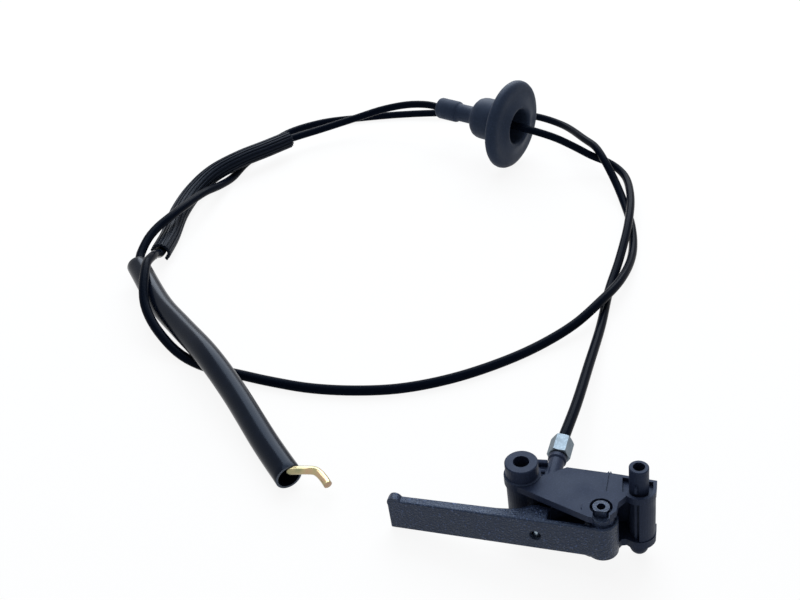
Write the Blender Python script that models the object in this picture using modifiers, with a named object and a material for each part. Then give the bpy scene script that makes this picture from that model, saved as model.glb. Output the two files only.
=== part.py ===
"""Hood release cable: a pull lever in a moulded bracket, and the cable that it works.

The lever swings in the bracket on two necks and draws a steel wire out of the cable's sheath.
The sheath runs through a rubber grommet and a ribbed sleeve to a hose, where the pull rod stands
out. Metres, +Z up. The parts lie on the ground plane z = 0 as they come to rest, with the origin
below the middle of the bracket and its lever.
"""

import math

import bmesh
import bpy
from mathutils import Matrix, Vector

MM = 0.001
FIT = 0.3 * MM

# How the bracket lies: on its locating pin and the lever's tip
HOUSING_X = 45.94 * MM
HOUSING_Y = -16.57 * MM
HOUSING_YAW = math.radians(-12.0)
HOUSING_ROLL = math.radians(7.7)

# Bracket, in its own frame: origin on the post's axis, at the underside of the bottom plate
PLATE_THICK = 3.5 * MM
DECK_TOP = 26.5 * MM
DECK_THICK = 3.0 * MM
WALL = 1.8 * MM
WALL_REACH = 88.0
POST_RADIUS = 3.75 * MM
POST_TOP = 37.0 * MM
POST_BORE = 2.3 * MM
POST_BORE_DEPTH = 22.0 * MM
PIN_RADIUS = 3.7 * MM
PIN_LENGTH = 8.0 * MM
POST_RIB = 1.0 * MM
END_RADIUS = 6.6 * MM
RECESS_RADIUS = 5.3 * MM
RECESS_DEPTH = 1.8 * MM
BOSS_X = -44.7 * MM
BOSS_Y = 4.2 * MM
BOSS_RADIUS = 6.6 * MM
BOSS_RING = 7.3 * MM
BOSS_TOP = 33.0 * MM
BOSS_BORE = 3.2 * MM
INSET = 0.3 * MM
SLIT_WIDTH = 0.5 * MM
SLIT_DEPTH = 0.6 * MM

# Lever, in its hinge's frame: origin on the hinge axis, x along the arm, tip at -x
HINGE_X = -13.6 * MM
HINGE_Y = -11.1 * MM
LEVER_TURN = math.radians(-5.95)
LEVER_LOW = 5.5 * MM
LEVER_HIGH = 20.5 * MM
LEVER_FRONT = -6.07 * MM
LEVER_TIP = -84.2 * MM
LEVER_THICK = 4.2 * MM
LEVER_WEB = 2.0 * MM
LEVER_EDGE = 0.7 * MM
BEAD_RADIUS = 2.9 * MM
HUB_RADIUS = 6.3 * MM
SHOULDER_RADIUS = 4.9 * MM
NECK_RADIUS = 3.2 * MM
NECK_FLAT = 2.5 * MM
NECK_BORE = 1.65 * MM
NECK_BORE_DEPTH = 9.0 * MM
SLOT_CLEARANCE = 1.1 * MM
SLOT_MOUTH = 5.9 * MM

# Nipple and wire
NIPPLE_X = -38.2 * MM
NIPPLE_Y = -11.0 * MM
NIPPLE_RADIUS = 2.2 * MM
NIPPLE_HEIGHT = 7.0 * MM
WIRE_LEVEL = 12.5 * MM
WIRE_RADIUS = 0.75 * MM
WIRE_LENGTH = 35.0 * MM
WIRE_ANGLE = math.radians(83.15)
VIEW_HOLE = 2.3 * MM
HUMP_DEPTH = 5.2 * MM

# Cable tube on the bracket and the hex ferrule at its end
TUBE_RADIUS = 3.3 * MM
TUBE_BORE = 2.3 * MM
TUBE_FRONT = 13.5 * MM
TUBE_END = 41.0 * MM
TUBE_COLLAR = 3.9 * MM
FUNNEL_RADIUS = 3.2 * MM
FUNNEL_DEPTH = 9.0 * MM
HEX_LENGTH = 10.0 * MM
HEX_ACROSS = 8.6 * MM
HEX_BORE_DEPTH = 6.0 * MM
HEX_EXIT = 3.0 * MM

# Cable
SHEATH_RADIUS = 2.5 * MM
SHEATH_STEP = 24.0 * MM
SHEATH_TURN = math.radians(10.0)

# Grommet: it leans back a little, and u runs from the flange's centre back to the collar
GROMMET_X = 28.1 * MM
GROMMET_Y = 321.9 * MM
GROMMET_YAW = math.radians(-37.0)
GROMMET_TILT = 0.05
FLANGE_RADIUS = 29.3 * MM
FLANGE_THICK = 5.0 * MM
HUB_FRONT = 7.0 * MM
BELL_RADIUS = 19.0 * MM
MOUTH_RADIUS = 11.6 * MM
BULB_RADIUS = 13.8 * MM
BULB_START = 12.0 * MM
BULB_END = 31.0 * MM
GROMMET_NECK = 5.9 * MM
COLLAR_RADIUS = 7.1 * MM
COLLAR_START = 44.5 * MM
COLLAR_END = 60.5 * MM

# Ribbed sleeve and hose
SLEEVE_RADIUS = 5.75 * MM
SLEEVE_RIB = 0.65 * MM
SLEEVE_BORE = 3.9 * MM
SLEEVE_RIBS = 12
SLEEVE_SLIT = math.radians(64.0)
HOSE_RADIUS = 6.1 * MM
HOSE_WALL = 1.1 * MM

# What is inside the hose, as distances along it from its upper mouth
SHEATH_IN_HOSE = 62.0 * MM
CAP_LENGTH = 14.0 * MM
CAP_RADIUS = 3.4 * MM
STRAND_RADIUS = 0.8 * MM
STRAND_LENGTH = 22.0 * MM
CRIMP_LENGTH = 12.0 * MM
CRIMP_RADIUS = 2.9 * MM
ROD_RADIUS = 1.65 * MM
ROD_STRAIGHT_END = 177.0 * MM

# Routes, in millimetres on the ground plan, with the height above the ground last
TO_GROMMET = [
    (31.6, 57, 12.8), (43.4, 92.2, 8), (56.3, 130.7, 3.6), (66.8, 165.6, 2.7), (77, 192.8, 5),
    (89, 229.9, 8.6), (97, 266.2, 8.6), (98, 293.2, 8), (91.5, 307.2, 9), (79.5, 312.2, 12.3),
    (67, 312.2, 19), (52, 311, 26.5),
]
TO_SLEEVE = [(-42, 368.5, 24.4), (-60, 370.5, 20), (-79, 367.5, 14.8), (-101.5, 357, 11.5)]
SLEEVE_ROUTE = [
    (-125.3, 339.6, 11), (-139, 323.7, 11.6), (-154.2, 308.2, 11.6), (-169.5, 292, 9.3),
    (-178.8, 273.2, 6.6), (-183.8, 248.9, 5.1), (-184.4, 218.7, 5.1), (-185.4, 197.7, 6.8),
]
ROUND_HOSE = [
    (-185.3, 189.2, 11.4), (-184.8, 178.7, 16.2), (-185, 167.2, 19.2), (-183.9, 156.2, 18.9),
    (-182.7, 146.9, 17), (-180.3, 136.4, 13.7), (-175.1, 126, 10.3), (-167.8, 116.2, 7.2),
    (-159.2, 107.6, 4.2), (-150.2, 101.2, 2.9), (-140, 96, 2.7), (-128, 92.1, 2.7),
]
COIL = [
    (-110.7, 86.3, 2.7), (-91, 81.2, 2.7), (-69.5, 79.4, 2.7), (-48, 81, 2.7), (-23.8, 88.2, 2.7),
    (1.5, 100.8, 2.7), (22.9, 114.9, 3), (42.3, 129, 6), (57.5, 144.4, 9.4), (72.5, 167.2, 7.8),
    (86.1, 200.6, 3.6), (92.4, 233.2, 2.7), (93, 262.2, 4), (90, 282.2, 9.5), (84.8, 300.2, 16.4),
    (81.8, 313.2, 18), (77.5, 328.7, 16.2), (67, 367, 10), (49.2, 386.1, 8), (17, 397.2, 5.6),
    (-19.7, 400.6, 4), (-48, 400, 3), (-76.2, 394.8, 2.7), (-104.1, 386.7, 2.7),
]
TO_HOSE = [
    (-128.5, 368.2, 2.7), (-142.2, 342, 2.7), (-152.6, 319.5, 2.7), (-158.6, 299.1, 2.7),
    (-163.6, 281.8, 6.2), (-170.4, 261.5, 11.6), (-178.6, 235.6, 15.4), (-184, 221.4, 16.2),
    (-188.1, 212.5, 15.8), (-191.6, 202.6, 14.6), (-193.4, 193.2, 12.8), (-193.9, 186, 11.3),
]
HOSE_ROUTE = [
    (-193.3, 178.2, 10.3), (-173.7, 142, 9.3), (-158.5, 119.7, 10.4), (-141.5, 95.2, 11.9),
    (-125.2, 70, 9.6), (-106.6, 37.4, 6.9), (-95, 18.1, 6.2),
]
ROD_BENDS = [(-95.6, 19.1, 6.2), (-90.6, 16.6, 6.1), (-84.5, 23.8, 4.6), (-78.4, 15.4, 4)]


def mm(points):
    return [Vector(point) * MM for point in points]


def new_collection(name):
    collection = bpy.data.collections.new(name)
    bpy.context.scene.collection.children.link(collection)
    return collection


def clear_scene():
    for obj in list(bpy.data.objects):
        bpy.data.objects.remove(obj, do_unlink=True)


def paint(obj, color, roughness, metallic=0.0):
    material = bpy.data.materials.new(obj.name)
    material.use_nodes = True
    shader = material.node_tree.nodes["Principled BSDF"]
    shader.inputs["Base Color"].default_value = (*color, 1.0)
    shader.inputs["Roughness"].default_value = roughness
    shader.inputs["Metallic"].default_value = metallic
    obj.data.materials.clear()
    obj.data.materials.append(material)


def finish_mesh(mesh):
    """Closed and facing out, with round stretches shaded smooth."""
    bm = bmesh.new()
    bm.from_mesh(mesh)
    bmesh.ops.remove_doubles(bm, verts=bm.verts, dist=0.001 * MM)
    bmesh.ops.recalc_face_normals(bm, faces=bm.faces)
    bm.to_mesh(mesh)
    bm.free()
    mesh.shade_smooth()
    mesh.set_sharp_from_angle(angle=math.radians(35))


def as_mesh(obj, collection):
    """The curve object as a mesh object of the same name, in the given collection."""
    bpy.context.scene.collection.objects.link(obj)
    bpy.context.view_layer.update()
    graph = bpy.context.evaluated_depsgraph_get()
    mesh = bpy.data.meshes.new_from_object(obj.evaluated_get(graph))
    finish_mesh(mesh)
    name = obj.name
    place = obj.matrix_world.copy()
    bpy.data.objects.remove(obj, do_unlink=True)
    made = bpy.data.objects.new(name, mesh)
    made.matrix_world = place
    collection.objects.link(made)
    return made


def flat(name, outline, low, high, collection):
    """A closed outline in the XY plane, as a slab from low to high."""
    curve = bpy.data.curves.new(name, "CURVE")
    curve.dimensions = "2D"
    curve.fill_mode = "BOTH"
    curve.extrude = (high - low) / 2
    spline = curve.splines.new("POLY")
    spline.points.add(len(outline) - 1)
    for point, (x, y) in zip(spline.points, outline):
        point.co = (x, y, 0.0, 1.0)
    spline.use_cyclic_u = True
    obj = bpy.data.objects.new(name, curve)
    obj.location.z = (low + high) / 2
    return as_mesh(obj, collection)


def turned(name, profile, steps, collection):
    """A profile of (radius, height), outer side first and top to bottom, turned about Z."""
    mesh = bpy.data.meshes.new(name)
    bm = bmesh.new()
    verts = [bm.verts.new((radius, 0.0, height)) for radius, height in profile]
    for first, second in zip(verts, verts[1:] + verts[:1]):
        if first.co.x > 0.0 or second.co.x > 0.0:
            bm.edges.new((first, second))
    bm.to_mesh(mesh)
    bm.free()
    obj = bpy.data.objects.new(name, mesh)
    collection.objects.link(obj)
    screw = obj.modifiers.new("Turn", "SCREW")
    screw.steps = steps
    screw.render_steps = steps
    screw.use_merge_vertices = True
    screw.merge_threshold = 0.01 * MM
    bpy.context.view_layer.update()
    graph = bpy.context.evaluated_depsgraph_get()
    turned_mesh = bpy.data.meshes.new_from_object(obj.evaluated_get(graph))
    finish_mesh(turned_mesh)
    obj.modifiers.clear()
    obj.data = turned_mesh
    return obj


def rod_profile(radius, low, high):
    return [(0.0, high), (radius, high), (radius, low), (0.0, low)]


def cylinder(name, radius, low, high, at, collection, steps=32):
    obj = turned(name, rod_profile(radius, low, high), steps, collection)
    obj.location = (at[0], at[1], 0.0)
    return obj


def box(name, low, high, collection):
    mesh = bpy.data.meshes.new(name)
    bm = bmesh.new()
    size = [b - a for a, b in zip(low, high)]
    middle = [(a + b) / 2 for a, b in zip(low, high)]
    bmesh.ops.create_cube(bm, size=1.0, matrix=Matrix.Translation(middle) @ Matrix.Diagonal((*size, 1.0)))
    bm.to_mesh(mesh)
    bm.free()
    obj = bpy.data.objects.new(name, mesh)
    collection.objects.link(obj)
    return obj


def combine(obj, tool, operation, solver="EXACT"):
    """Joins or cuts with a tool, which stays in the file as a hidden helper."""
    modifier = obj.modifiers.new(tool.name, "BOOLEAN")
    modifier.solver = solver
    modifier.operation = operation
    modifier.object = tool
    tool.hide_render = True
    tool.display_type = "WIRE"


def arc(center, radius, start, end, steps):
    """Points on an arc, with angles in degrees."""
    points = []
    for i in range(steps + 1):
        angle = math.radians(start + (end - start) * i / steps)
        points.append((center[0] + radius * math.cos(angle), center[1] + radius * math.sin(angle)))
    return points


def smooth(points, steps=24):
    """A centripetal Catmull-Rom curve through the points, finely sampled."""
    ends = [points[0] * 2 - points[1]] + points + [points[-1] * 2 - points[-2]]
    found = []
    for a, b, c, d in zip(ends, ends[1:], ends[2:], ends[3:]):
        t1 = (b - a).length ** 0.5
        t2 = t1 + (c - b).length ** 0.5
        t3 = t2 + (d - c).length ** 0.5
        for i in range(steps):
            t = t1 + (t2 - t1) * i / steps
            p = a.lerp(b, t / t1)
            q = b.lerp(c, (t - t1) / (t2 - t1))
            r = c.lerp(d, (t - t2) / (t3 - t2))
            s = p.lerp(q, t / t2)
            u = q.lerp(r, (t - t1) / (t3 - t1))
            found.append(s.lerp(u, (t - t1) / (t2 - t1)))
    found.append(points[-1])
    return found


def along(points, start, end):
    """The stretch of a finely sampled line between two distances along it."""
    found = []
    done = 0.0
    for a, b in zip(points, points[1:]):
        step = (b - a).length
        for edge in (start, end):
            if done <= edge < done + step:
                found.append(a.lerp(b, (edge - done) / step))
        if start < done + step < end:
            found.append(b)
        done += step
    return found


def thinned(points, longest, turn, corners=()):
    """Fewer points: the corners, and one after each longest distance or each turn of the line."""
    kept = [points[0]]
    heading = points[1] - points[0]
    for before, point, after in zip(points, points[1:], points[2:]):
        new_heading = after - point
        far = (point - kept[-1]).length >= longest
        corner = any((point - other).length < 0.01 * MM for other in corners)
        if far or corner or heading.angle(new_heading) >= turn:
            kept.append(point)
            heading = after - before
    kept.append(points[-1])
    return kept


def tube(name, points, radius, sides_resolution, collection):
    """A round solid along a line of points, with closed ends."""
    curve = bpy.data.curves.new(name, "CURVE")
    curve.dimensions = "3D"
    curve.bevel_depth = radius
    curve.bevel_resolution = sides_resolution
    curve.use_fill_caps = True
    spline = curve.splines.new("POLY")
    spline.points.add(len(points) - 1)
    for target, point in zip(spline.points, points):
        target.co = (*point, 1.0)
    return as_mesh(bpy.data.objects.new(name, curve), collection)


def frame_along(start, direction):
    """A frame with its z axis along the direction."""
    turn = Vector((0.0, 0.0, 1.0)).rotation_difference(direction).to_matrix().to_4x4()
    return Matrix.Translation(start) @ turn


def hinge_frames():
    """The empties that carry the bracket, the lever and the wire."""
    lift = (PIN_LENGTH - PIN_RADIUS) * math.cos(HOUSING_ROLL) + PIN_RADIUS
    turn = Matrix.Rotation(HOUSING_YAW, 4, "Z") @ Matrix.Rotation(-HOUSING_ROLL, 4, "Y")
    housing = Matrix.Translation((HOUSING_X, HOUSING_Y, lift)) @ turn
    lever = housing @ Matrix.Translation((HINGE_X, HINGE_Y, 0.0)) @ Matrix.Rotation(LEVER_TURN, 4, "Z")
    wire = housing @ Matrix.Translation((NIPPLE_X, NIPPLE_Y, WIRE_LEVEL))
    wire = wire @ Matrix.Rotation(WIRE_ANGLE - math.pi / 2, 4, "Z")
    return housing, lever, wire


def empty(name, matrix, collection):
    obj = bpy.data.objects.new(name, None)
    obj.matrix_world = matrix
    collection.objects.link(obj)
    return obj


def carry(objects, holder):
    for obj in objects:
        obj.parent = holder


def deck_outline():
    """Seen from above: tangent to the boss, out to the hinge, round the post and back."""
    boss = (BOSS_X, BOSS_Y)
    outline = arc(boss, BOSS_RING - INSET, 170, 244, 6)
    outline += [(x * MM, y * MM) for x, y in ((-30.7, -10.5), (-18.2, -16.6), (-16.2, -17.0))]
    outline += [(x * MM, y * MM) for x, y in ((-10.2, -17.0), (-10.2, -15.2), (-8.0, -13.0), (-7.4, -8.5))]
    outline += arc((0.0, 0.0), END_RADIUS, -133, -14, 10)
    outline += [(x * MM, y * MM) for x, y in ((6.7, 4.1), (-6.8, 6.5), (-10.2, 7.0), (-10.6, 8.0))]
    outline += [(x * MM, y * MM) for x, y in ((-11.5, 8.0), (-12.0, 7.2), (-27.6, 9.2), (-37.5, 3.2))]
    return outline


def plate_outline():
    """The bottom plate: as the deck, with its front edge set back below the lever."""
    boss = (BOSS_X, BOSS_Y)
    outline = arc(boss, BOSS_RADIUS - INSET, 170, 250, 6)
    outline += [(x * MM, y * MM) for x, y in ((-30.7, -7.0), (-18.6, -12.0), (-9.4, -12.0))]
    outline += [(x * MM, y * MM) for x, y in ((-8.6, -8.6), (-6.4, -5.2))]
    outline += arc((0.0, 0.0), END_RADIUS, -133, -14, 10)
    outline += [(x * MM, y * MM) for x, y in ((6.7, 4.1), (-6.8, 6.3), (-27.6, 9.0), (-37.5, 3.2))]
    return outline


def back_wall_outline():
    """The wall between the plates, from the boss along the back and round the post's far side."""
    outer = [(x * MM, y * MM) for x, y in ((-42.0, 2.0), (-37.5, 3.1), (-27.6, 9.0), (-6.8, 6.2), (4.6, 4.5))]
    outer += arc((0.0, 0.0), END_RADIUS - INSET, 40, -WALL_REACH, 12)
    inner = arc((0.0, 0.0), END_RADIUS - INSET - WALL, -WALL_REACH, 40, 12)
    inner += [(x * MM, y * MM) for x, y in ((-6.8, 4.4), (-27.1, 7.1), (-36.8, 1.2), (-42.0, 0.2))]
    return outer + inner


def hinge_slot(name, low, high, tools):
    """The cutter for a slot that is open to the front, for a neck of the lever."""
    radius = NECK_RADIUS + SLOT_CLEARANCE
    half = SLOT_MOUTH / 2
    side = math.degrees(math.asin(half / radius))
    outline = arc((HINGE_X, HINGE_Y), radius, -90 + side, 270 - side, 18)
    outline += [(HINGE_X - half, HINGE_Y - 9 * MM), (HINGE_X + half, HINGE_Y - 9 * MM)]
    return flat(name, outline, low, high, tools)


def tube_axis(level=WIRE_LEVEL):
    """A frame on the nipple's centre, with z along the cable tube."""
    direction = Vector((math.cos(WIRE_ANGLE), math.sin(WIRE_ANGLE), 0.0))
    return frame_along(Vector((NIPPLE_X, NIPPLE_Y, level)), direction)


def make_bracket(parts, tools):
    bracket = flat("bracket", plate_outline(), 0.0, PLATE_THICK, parts)
    under = DECK_TOP - DECK_THICK
    joined = [
        flat("join_wall", back_wall_outline(), 0.2 * MM, DECK_TOP - 1.0 * MM, tools),
        flat("join_deck", deck_outline(), under, DECK_TOP, tools),
        screw_boss(tools),
        post_and_pin(tools),
        box("join_rib", (-POST_RIB * 1.6, -POST_RADIUS - 1.1 * MM, 0.6 * MM),
            (-POST_RIB * 0.6, -POST_RADIUS + 0.9 * MM, DECK_TOP + 4.0 * MM), tools),
        cable_tube(tools),
        saddle(tools),
    ]
    for tool in joined:
        combine(bracket, tool, "UNION", "MANIFOLD")
    for tool in bracket_cutters(tools):
        combine(bracket, tool, "DIFFERENCE", "MANIFOLD")
    paint(bracket, (0.035, 0.04, 0.055), 0.45)
    return bracket


def screw_boss(tools):
    """The boss for the mounting screw, with a wider ring at the deck."""
    ring_low = DECK_TOP - DECK_THICK - 0.6 * MM
    ring_high = DECK_TOP + 0.6 * MM
    profile = [
        (0.0, BOSS_TOP), (BOSS_RADIUS - 0.4 * MM, BOSS_TOP), (BOSS_RADIUS, BOSS_TOP - 0.4 * MM),
        (BOSS_RADIUS, ring_high), (BOSS_RING, ring_high - 0.3 * MM), (BOSS_RING, ring_low),
        (BOSS_RADIUS, ring_low - 0.4 * MM), (BOSS_RADIUS, 0.4 * MM), (0.0, 0.4 * MM),
    ]
    obj = turned("join_boss", profile, 36, tools)
    obj.location = (BOSS_X, BOSS_Y, 0.0)
    return obj


def post_and_pin(tools):
    """The post, and the round-ended pin below it."""
    profile = [(0.0, POST_TOP), (POST_RADIUS - 0.3 * MM, POST_TOP), (POST_RADIUS, POST_TOP - 0.3 * MM)]
    profile += [(POST_RADIUS, -0.4 * MM), (PIN_RADIUS, -0.5 * MM)]
    profile += [(x, PIN_RADIUS - PIN_LENGTH + y) for x, y in arc((0.0, 0.0), PIN_RADIUS, 0, -90, 6)]
    profile[-1] = (0.0, -PIN_LENGTH)
    return turned("join_post", profile, 32, tools)


def cable_tube(tools):
    """The tube that carries the sheath's ferrule, with a collar at its end."""
    low, high = TUBE_FRONT, TUBE_END
    profile = [
        (0.0, high), (TUBE_COLLAR - 0.4 * MM, high), (TUBE_COLLAR, high - 0.5 * MM),
        (TUBE_COLLAR, high - 2.2 * MM), (TUBE_RADIUS, high - 3.0 * MM), (TUBE_RADIUS, low), (0.0, low),
    ]
    obj = turned("join_tube", profile, 32, tools)
    obj.matrix_world = tube_axis()
    return obj


def saddle(tools):
    """The web between the boss and the cable tube."""
    corners = ((-45.5, 8.5), (-40.5, 6.5), (-35.4, 12.0), (-34.2, 22.8), (-41.6, 23.2))
    outline = [(x * MM, y * MM) for x, y in corners]
    return flat("join_saddle", outline, 8.6 * MM, 15.4 * MM, tools)


def bracket_cutters(tools):
    boss = (BOSS_X, BOSS_Y)
    boss_bore = cylinder("cut_boss", BOSS_BORE, -1.0 * MM, BOSS_TOP + 1.0 * MM, boss, tools)
    post_low = POST_TOP - POST_BORE_DEPTH
    post_bore = cylinder("cut_post", POST_BORE, post_low, POST_TOP + 1.0 * MM, (0.0, 0.0), tools, 24)
    beyond = TUBE_END + 1.0 * MM
    before = TUBE_FRONT - 6.0 * MM
    bore = turned("cut_tube", [
        (0.0, beyond), (TUBE_BORE, beyond), (TUBE_BORE, TUBE_FRONT + FUNNEL_DEPTH),
        (FUNNEL_RADIUS, TUBE_FRONT - 1.0 * MM), (FUNNEL_RADIUS, before), (0.0, before),
    ], 24, tools)
    bore.matrix_world = tube_axis()
    slit_low = (-SLIT_WIDTH / 2, -5.2 * MM, -SLIT_DEPTH)
    slit = box("cut_slit", slit_low, (SLIT_WIDTH / 2, 6.0 * MM, 1.0 * MM), tools)
    slit.location = (-11.5 * MM, 2.4 * MM, DECK_TOP)
    slit.rotation_euler.z = math.radians(-4.4)
    return [
        boss_bore, post_bore, bore, slit, post_recess(tools),
        hinge_slot("cut_deck_slot", DECK_TOP - DECK_THICK - 1.0 * MM, DECK_TOP + 1.0 * MM, tools),
        hinge_slot("cut_plate_slot", -1.0 * MM, PLATE_THICK + 1.0 * MM, tools),
    ]


def post_recess(tools):
    """The shallow pocket round the post, as a ring with the post left standing."""
    outline = arc((0.0, 0.0), RECESS_RADIUS, -148, 0, 12)
    outline += [(RECESS_RADIUS, 3.2 * MM), (-6.2 * MM, 5.0 * MM)]
    outline += [(-6.2 * MM, -RECESS_RADIUS * 0.53)]
    pocket = flat("cut_recess", outline, DECK_TOP - RECESS_DEPTH, DECK_TOP + 1.0 * MM, tools)
    keep = cylinder("keep_post", POST_RADIUS, 0.0, POST_TOP, (0.0, 0.0), tools)
    combine(pocket, keep, "DIFFERENCE")
    return pocket


def lever_outline():
    """The arm's section from above, with the hump that holds the nipple and the hub's web."""
    front, back = LEVER_FRONT, LEVER_FRONT + LEVER_THICK
    nipple = lever_point(NIPPLE_X, NIPPLE_Y)
    hump_back = nipple[1] + HUMP_DEPTH
    outline = [(LEVER_TIP, front), (0.0, front), (0.0, front + LEVER_WEB)]
    outline += [(nipple[0] + 4.6 * MM, front + LEVER_WEB), (nipple[0] + 4.4 * MM, hump_back - 0.6 * MM)]
    outline += [(nipple[0] + 1.0 * MM, hump_back), (nipple[0] - 2.5 * MM, hump_back - 0.5 * MM)]
    outline += [(nipple[0] - 7.0 * MM, hump_back - 3.0 * MM), (nipple[0] - 11.0 * MM, back + 0.6 * MM)]
    outline += [(nipple[0] - 16.0 * MM, back), (LEVER_TIP, back - 0.8 * MM)]
    return outline


def lever_point(x, y):
    """A point of the bracket's plan in the lever's frame."""
    turned_back = Matrix.Rotation(-LEVER_TURN, 2) @ Vector((x - HINGE_X, y - HINGE_Y))
    return turned_back.x, turned_back.y


def make_lever(parts, tools):
    lever = flat("lever", lever_outline(), LEVER_LOW, LEVER_HIGH, parts)
    rounding = lever.modifiers.new("Rounded edges", "BEVEL")
    rounding.width = LEVER_EDGE
    rounding.segments = 2
    rounding.limit_method = "ANGLE"
    rounding.angle_limit = math.radians(50)
    joined = [
        lever_hub(tools), tip_bead(tools),
        neck("join_top_neck", LEVER_HIGH - 1.0 * MM, DECK_TOP, tools),
        neck("join_low_neck", 1.2 * MM, LEVER_LOW + 1.0 * MM, tools),
    ]
    for tool in joined:
        combine(lever, tool, "UNION")
    for tool in lever_cutters(tools):
        combine(lever, tool, "DIFFERENCE")
    paint(lever, (0.05, 0.053, 0.06), 0.6)
    return lever


def lever_hub(tools):
    low = PLATE_THICK + FIT
    high = DECK_TOP - DECK_THICK - FIT
    edge = 0.5 * MM
    profile = [
        (0.0, high), (SHOULDER_RADIUS, high), (SHOULDER_RADIUS, LEVER_HIGH), (HUB_RADIUS - edge, LEVER_HIGH),
        (HUB_RADIUS, LEVER_HIGH - edge), (HUB_RADIUS, low + edge), (HUB_RADIUS - edge, low), (0.0, low),
    ]
    return turned("join_hub", profile, 40, tools)


def tip_bead(tools):
    """The rounded rim that stands up at the tip."""
    half = 3.2 * MM
    bead = turned("join_bead", rod_profile(BEAD_RADIUS, -half, half), 24, tools)
    top = LEVER_HIGH + 1.6 * MM - BEAD_RADIUS
    middle = LEVER_FRONT + (LEVER_THICK - 0.8 * MM) / 2
    bead.location = (LEVER_TIP + BEAD_RADIUS, middle, top)
    bead.rotation_euler.x = math.pi / 2
    bead.scale.z = 0.52
    return bead


def neck(name, low, high, tools):
    """A D-shaped neck that turns in a slot of the bracket, with its flat to the front."""
    flat_angle = math.degrees(math.acos(NECK_FLAT / NECK_RADIUS))
    outline = arc((0.0, 0.0), NECK_RADIUS, -90 + flat_angle, 270 - flat_angle, 24)
    return flat(name, outline, low, high, tools)


def lever_cutters(tools):
    nipple = lever_point(NIPPLE_X, NIPPLE_Y)
    roof = WIRE_LEVEL + NIPPLE_HEIGHT / 2 + FIT
    pocket = cylinder("cut_pocket", NIPPLE_RADIUS + FIT, LEVER_LOW - 1.0 * MM, roof, nipple, tools)
    fan = wire_fan(nipple, tools)
    window = turned("cut_window", rod_profile(VIEW_HOLE, 0.0, 8.0 * MM), 24, tools)
    window.location = (nipple[0], nipple[1], WIRE_LEVEL)
    window.rotation_euler.x = math.pi / 2
    top = DECK_TOP + 1.0 * MM
    bore = cylinder("cut_neck_bore", NECK_BORE, DECK_TOP - NECK_BORE_DEPTH, top, (0.0, 0.0), tools, 24)
    return [pocket, fan, window, bore]


def wire_fan(nipple, tools):
    """The slot in the hump's back, wide enough for the wire as the lever swings."""
    start = math.degrees(WIRE_ANGLE - LEVER_TURN)
    near = WIRE_RADIUS + 2 * FIT
    reach = 9.0 * MM
    outline = []
    for angle, side in ((start + 5.0, 1.0), (start - 37.0, -1.0)):
        along_wire = Vector((math.cos(math.radians(angle)), math.sin(math.radians(angle))))
        across = Vector((-along_wire.y, along_wire.x)) * near * side
        corner = [Vector(nipple) + across, Vector(nipple) + across + along_wire * reach]
        outline += corner if side < 0 else corner[::-1]
    outline = [(point.x, point.y) for point in outline]
    return flat("cut_fan", outline, LEVER_LOW - 1.0 * MM, WIRE_LEVEL + 1.5 * MM, tools)


def make_nipple_and_wire(parts):
    """The barrel nipple and the wire, in a frame whose y axis is the wire's."""
    half = NIPPLE_HEIGHT / 2
    edge = 0.4 * MM
    profile = [
        (0.0, half), (NIPPLE_RADIUS - edge, half), (NIPPLE_RADIUS, half - edge),
        (NIPPLE_RADIUS, -half + edge), (NIPPLE_RADIUS - edge, -half), (0.0, -half),
    ]
    nipple = turned("cable_nipple", profile, 24, parts)
    paint(nipple, (0.75, 0.76, 0.78), 0.25, 1.0)
    wire = turned("inner_wire", rod_profile(WIRE_RADIUS, NIPPLE_RADIUS + 0.1 * MM, WIRE_LENGTH), 12, parts)
    wire.matrix_world = Matrix.Rotation(-math.pi / 2, 4, "X")
    paint(wire, (0.55, 0.56, 0.58), 0.35, 1.0)
    return nipple, wire


def make_hex_ferrule(parts, tools):
    """The hexagonal ferrule on the cable tube, with its corners turned down at both ends."""
    radius = HEX_ACROSS / 2 / math.cos(math.radians(30))
    ferrule = turned("hex_ferrule", rod_profile(radius, 0.0, HEX_LENGTH), 6, parts)
    rim = 1.0 * MM
    inner = HEX_ACROSS / 2 - 0.3 * MM
    barrel = turned("shape_hex", [
        (0.0, HEX_LENGTH + 0.1 * MM), (inner, HEX_LENGTH + 0.1 * MM), (inner + 2.2 * rim, HEX_LENGTH - rim),
        (inner + 2.2 * rim, rim), (inner, -0.1 * MM), (0.0, -0.1 * MM),
    ], 32, tools)
    step = HEX_LENGTH - HEX_BORE_DEPTH
    wide = SHEATH_RADIUS + FIT
    narrow = WIRE_RADIUS + 0.5 * MM
    hollow = turned("cut_hex", [
        (0.0, HEX_LENGTH + 1.0 * MM), (wide, HEX_LENGTH + 1.0 * MM), (wide, step), (narrow, step),
        (narrow, -1.0 * MM), (0.0, -1.0 * MM),
    ], 24, tools)
    for tool, operation in ((barrel, "INTERSECT"), (hollow, "DIFFERENCE")):
        combine(ferrule, tool, operation)
    place = tube_axis() @ Matrix.Translation((0.0, 0.0, TUBE_END + FIT))
    for obj in (ferrule, barrel, hollow):
        obj.matrix_world = place
    paint(ferrule, (0.62, 0.68, 0.74), 0.3, 1.0)
    return ferrule, [barrel, hollow]


def grommet_frame():
    """A frame on the flange's centre, with z pointing out of the grommet's mouth."""
    direction = Vector((math.cos(GROMMET_YAW), math.sin(GROMMET_YAW), GROMMET_TILT)).normalized()
    return frame_along(Vector((GROMMET_X, GROMMET_Y, FLANGE_RADIUS + 0.3 * MM)), direction)


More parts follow.
